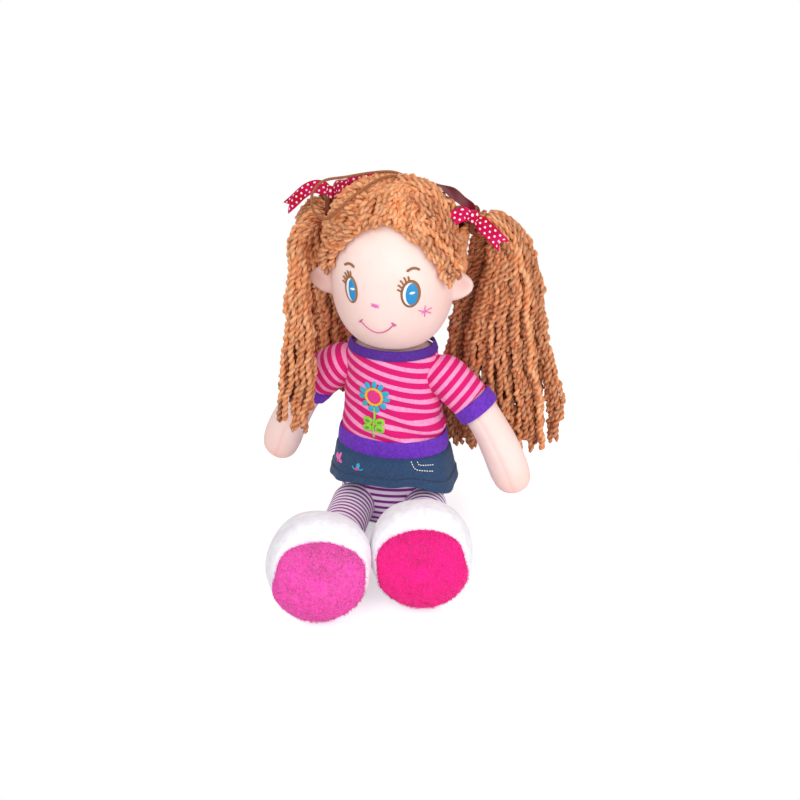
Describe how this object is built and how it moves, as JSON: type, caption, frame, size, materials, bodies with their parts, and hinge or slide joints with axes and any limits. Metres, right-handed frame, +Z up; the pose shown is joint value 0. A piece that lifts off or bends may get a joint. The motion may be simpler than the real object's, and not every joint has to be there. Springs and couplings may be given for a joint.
{
  "type": "rag doll",
  "caption": "Sitting cloth rag doll with stuffed body, yarn hair in two tied bunches, ribbon bows, striped shirt and tights, short skirt and big plush feet.",
  "frame": {"origin": "middle of the seat, where the doll's bottom rests on the surface it sits on", "axes": "+Z up, -Y the way the legs point, +X the doll's left"},
  "size_m": [0.2206, 0.2318, 0.255],
  "materials": {
    "skin_cloth": "brushed tricot",
    "stuffing": "polyester fibre fill",
    "striped_tights": "purple and white striped jersey",
    "shirt_velour": "two-pink striped velour",
    "purple_binding": "velour binding",
    "turquoise_felt": "stitched felt",
    "yellow_felt": "stitched felt",
    "magenta_thread": "satin stitch",
    "green_thread": "satin stitch",
    "denim": "dark denim twill",
    "white_thread": "cotton thread",
    "pink_thread": "satin stitch",
    "blue_thread": "satin stitch with brown outline and white highlight",
    "brown_thread": "satin stitch",
    "hair_yarn": "two-ply twisted yarn",
    "brown_cord": "fine braid",
    "dotted_ribbon": "satin with white dots",
    "white_velour": "short velour",
    "pink_plush": "short pile plush"
  },
  "bodies": {
    "torso": {"body_stuffing": "stuffing", "torso_skin": "skin_cloth", "hips_skin": "striped_tights", "shirt_front": "shirt_velour", "shirt_back": "shirt_velour", "collar_band": "purple_binding", "waistband": "purple_binding", "flower_petals": "turquoise_felt", "flower_ring": "yellow_felt", "flower_centre": "magenta_thread", "flower_stem": "green_thread", "skirt": "denim", "pocket_stitch": "white_thread", "pink_motif": "pink_thread", "blue_motif": "turquoise_felt"},
    "neck": {"neck": "skin_cloth"},
    "head": {"head_skin": "skin_cloth", "head_stuffing": "stuffing", "left_ear": "skin_cloth", "left_eye": "blue_thread", "left_brow": "brown_thread", "right_ear": "skin_cloth", "right_eye": "blue_thread", "right_brow": "brown_thread", "nose": "pink_thread", "mouth": "pink_thread", "cheek_star": "pink_thread", "hair_cap": "hair_yarn", "fringe": "hair_yarn", "hanging_loop": "brown_cord"},
    "left_bunch": {"left_bunch_root": "hair_yarn", "left_tie": "brown_cord", "left_bow": "dotted_ribbon"},
    "right_bunch": {"right_bunch_root": "hair_yarn", "right_tie": "brown_cord", "right_bow": "dotted_ribbon"},
    "left_tail": {"left_tail": "hair_yarn"},
    "right_tail": {"right_tail": "hair_yarn"},
    "right_lock": {"right_front_lock": "hair_yarn"},
    "left_shoulder": {"left_armhole_facing": "shirt_velour"},
    "left_arm": {"left_arm_skin": "skin_cloth", "left_arm_stuffing": "stuffing", "left_sleeve": "shirt_velour", "left_cuff": "purple_binding"},
    "right_shoulder": {"right_armhole_facing": "shirt_velour"},
    "right_arm": {"right_arm_skin": "skin_cloth", "right_arm_stuffing": "stuffing", "right_sleeve": "shirt_velour", "right_cuff": "purple_binding"},
    "left_leg": {"left_leg_skin": "striped_tights", "left_leg_stuffing": "stuffing"},
    "left_foot": {"left_foot_upper": "white_velour", "left_foot_sole": "pink_plush", "left_foot_stuffing": "stuffing"},
    "right_leg": {"right_leg_skin": "striped_tights", "right_leg_stuffing": "stuffing"},
    "right_foot": {"right_foot_upper": "white_velour", "right_foot_sole": "pink_plush", "right_foot_stuffing": "stuffing"}
  },
  "joints": [
    {"name": "head_nod", "type": "hinge", "parent": "torso", "child": "neck", "pos_m": [0, 0, 0.13], "axis": [0.9781, -0.2079, 0], "range_deg": [-6, 8]},
    {"name": "head_turn", "type": "hinge", "parent": "neck", "child": "head", "pos_m": [0, 0, 0.13], "axis": [0, 0, 1], "range_deg": [-20, 20]},
    {"name": "left_bunch_sway", "type": "hinge", "parent": "head", "child": "left_bunch", "pos_m": [0.0549, -0.00145, 0.225], "axis": [0.9781, -0.2079, 0], "range_deg": [-9.5, 9.5]},
    {"name": "right_bunch_sway", "type": "hinge", "parent": "head", "child": "right_bunch", "pos_m": [-0.04389, 0.01955, 0.228], "axis": [0.9781, -0.2079, 0], "range_deg": [-9.5, 9.5]},
    {"name": "left_tail_lift", "type": "hinge", "parent": "left_bunch", "child": "left_tail", "pos_m": [0.0549, -0.00145, 0.225], "axis": [-0.2079, -0.9781, 0], "range_deg": [0, 80]},
    {"name": "right_tail_lift", "type": "hinge", "parent": "right_bunch", "child": "right_tail", "pos_m": [-0.04389, 0.01955, 0.228], "axis": [0.2079, 0.9781, 0], "range_deg": [0, 80]},
    {"name": "right_lock_sway", "type": "hinge", "parent": "right_bunch", "child": "right_lock", "pos_m": [-0.04389, 0.01955, 0.228], "axis": [-0.9781, 0.2079, 0], "range_deg": [-2.5, 48.5]},
    {"name": "left_arm_swing", "type": "hinge", "parent": "torso", "child": "left_shoulder", "pos_m": [0.03717, -0.0079, 0.1155], "axis": [-0.9781, 0.2079, 0], "range_deg": [-5, 100]},
    {"name": "left_arm_raise", "type": "hinge", "parent": "left_shoulder", "child": "left_arm", "pos_m": [0.03717, -0.0079, 0.1155], "axis": [-0.2079, -0.9781, 0], "range_deg": [0, 60]},
    {"name": "right_arm_swing", "type": "hinge", "parent": "torso", "child": "right_shoulder", "pos_m": [-0.03717, 0.0079, 0.1155], "axis": [-0.9781, 0.2079, 0], "range_deg": [-4, 100]},
    {"name": "right_arm_raise", "type": "hinge", "parent": "right_shoulder", "child": "right_arm", "pos_m": [-0.03717, 0.0079, 0.1155], "axis": [0.2079, 0.9781, 0], "range_deg": [0, 60]},
    {"name": "left_hip", "type": "hinge", "parent": "torso", "child": "left_leg", "pos_m": [0.025, -0.012, 0.017], "axis": [1, 0, 0], "range_deg": [-8, 90]},
    {"name": "left_ankle", "type": "hinge", "parent": "left_leg", "child": "left_foot", "pos_m": [0.03, -0.098, 0.022], "axis": [1, 0, 0], "range_deg": [-15, 15], "stiffness_Nm_per_rad": 0.15},
    {"name": "right_hip", "type": "hinge", "parent": "torso", "child": "right_leg", "pos_m": [-0.025, -0.012, 0.017], "axis": [1, 0, 0], "range_deg": [-8, 90]},
    {"name": "right_ankle", "type": "hinge", "parent": "right_leg", "child": "right_foot", "pos_m": [-0.033, -0.12, 0.022], "axis": [1, 0, 0], "range_deg": [-15, 15], "stiffness_Nm_per_rad": 0.15}
  ],
  "couplings": [
    {"joint": "left_bunch_sway", "follows": "head_turn", "ratio": -0.45},
    {"joint": "right_bunch_sway", "follows": "head_turn", "ratio": 0.45},
    {"joint": "right_lock_sway", "follows": "right_arm_swing", "ratio": 0.48}
  ]
}
